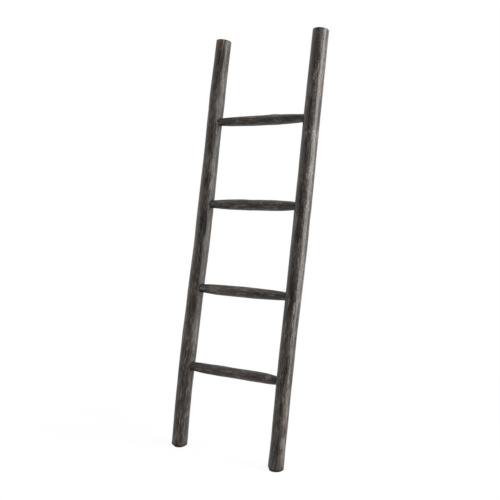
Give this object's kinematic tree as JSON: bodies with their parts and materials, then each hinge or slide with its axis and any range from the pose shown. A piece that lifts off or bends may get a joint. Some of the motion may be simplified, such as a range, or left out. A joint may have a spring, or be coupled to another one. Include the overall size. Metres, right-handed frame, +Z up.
{
  "type": "decorative ladder",
  "caption": "Leaning decorative ladder: round dark-stained wooden poles joined by whittled rungs that swell in the middle, for hanging towels or blankets.",
  "frame": {"origin": "middle of the floor space that the leaning ladder covers, on the floor", "axes": "+Z up, +Y towards the wall that it leans on, +X to the right for someone facing it"},
  "size_m": [0.4716, 0.344, 1.476],
  "materials": {
    "rail_wood": "near-black stain with a worn satin polish, lengthwise grain and reddish-brown streaks",
    "rung_wood": "near-black stain on whittled wood, duller than the poles, worn brown along its top",
    "peg_wood": "dark end grain, matt"
  },
  "bodies": {
    "root": {"left_rail": "rail_wood", "right_rail": "rail_wood", "bottom_rung": "rung_wood", "lower_middle_rung": "rung_wood", "upper_middle_rung": "rung_wood", "top_rung": "rung_wood", "bottom_rung_left_peg": "peg_wood", "bottom_rung_right_peg": "peg_wood", "lower_middle_rung_left_peg": "peg_wood", "lower_middle_rung_right_peg": "peg_wood", "upper_middle_rung_left_peg": "peg_wood", "upper_middle_rung_right_peg": "peg_wood", "top_rung_left_peg": "peg_wood", "top_rung_right_peg": "peg_wood"}
  },
  "joints": []
}
